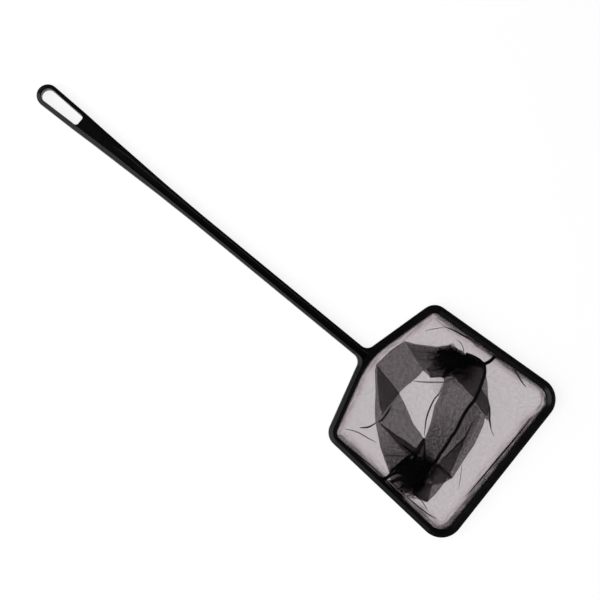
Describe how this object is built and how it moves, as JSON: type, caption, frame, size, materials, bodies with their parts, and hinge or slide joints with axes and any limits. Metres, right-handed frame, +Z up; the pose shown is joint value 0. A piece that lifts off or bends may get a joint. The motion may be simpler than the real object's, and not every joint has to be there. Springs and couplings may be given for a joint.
{
  "type": "aquarium fish net",
  "caption": "Aquarium fish net with a channelled handle, a hanging loop, a bevelled house-shaped rim and a fine mesh bag that lies folded flat in the rim and draws out to its depth.",
  "frame": {"origin": "middle of the net's box, on the surface that it lies on", "axes": "+X along the handle from the hanging loop to the rim's tip, +Y to the left as held, +Z up out of the rim on the bag's side; the mouth faces -Z"},
  "size_m": [0.392, 0.1258, 0.0075],
  "materials": {
    "black_plastic": "satin moulded black",
    "net_mesh": "fine black nylon mesh, see-through",
    "hem_cloth": "doubled black mesh",
    "seam_thread": "black overlocked thread"
  },
  "bodies": {
    "frame": {"handle": "black_plastic", "rim": "black_plastic", "retaining_hoop": "black_plastic", "hem_band": "hem_cloth", "net_wall_handle_side": "net_mesh", "net_wall_tip_side": "net_mesh", "side_seam_left": "seam_thread", "side_seam_right": "seam_thread"},
    "bag_bottom": {"net_floor_handle_side": "net_mesh", "net_floor_tip_side": "net_mesh", "bottom_seam": "seam_thread", "corner_gather_left": "net_mesh", "corner_gather_right": "net_mesh"}
  },
  "joints": [
    {"name": "bag_lift", "type": "slide", "parent": "frame", "child": "bag_bottom", "axis": [0, 0, 1], "range_m": [0, 0.045], "deforming": ["net_wall_handle_side", "net_wall_tip_side", "side_seam_left", "side_seam_right"]}
  ]
}
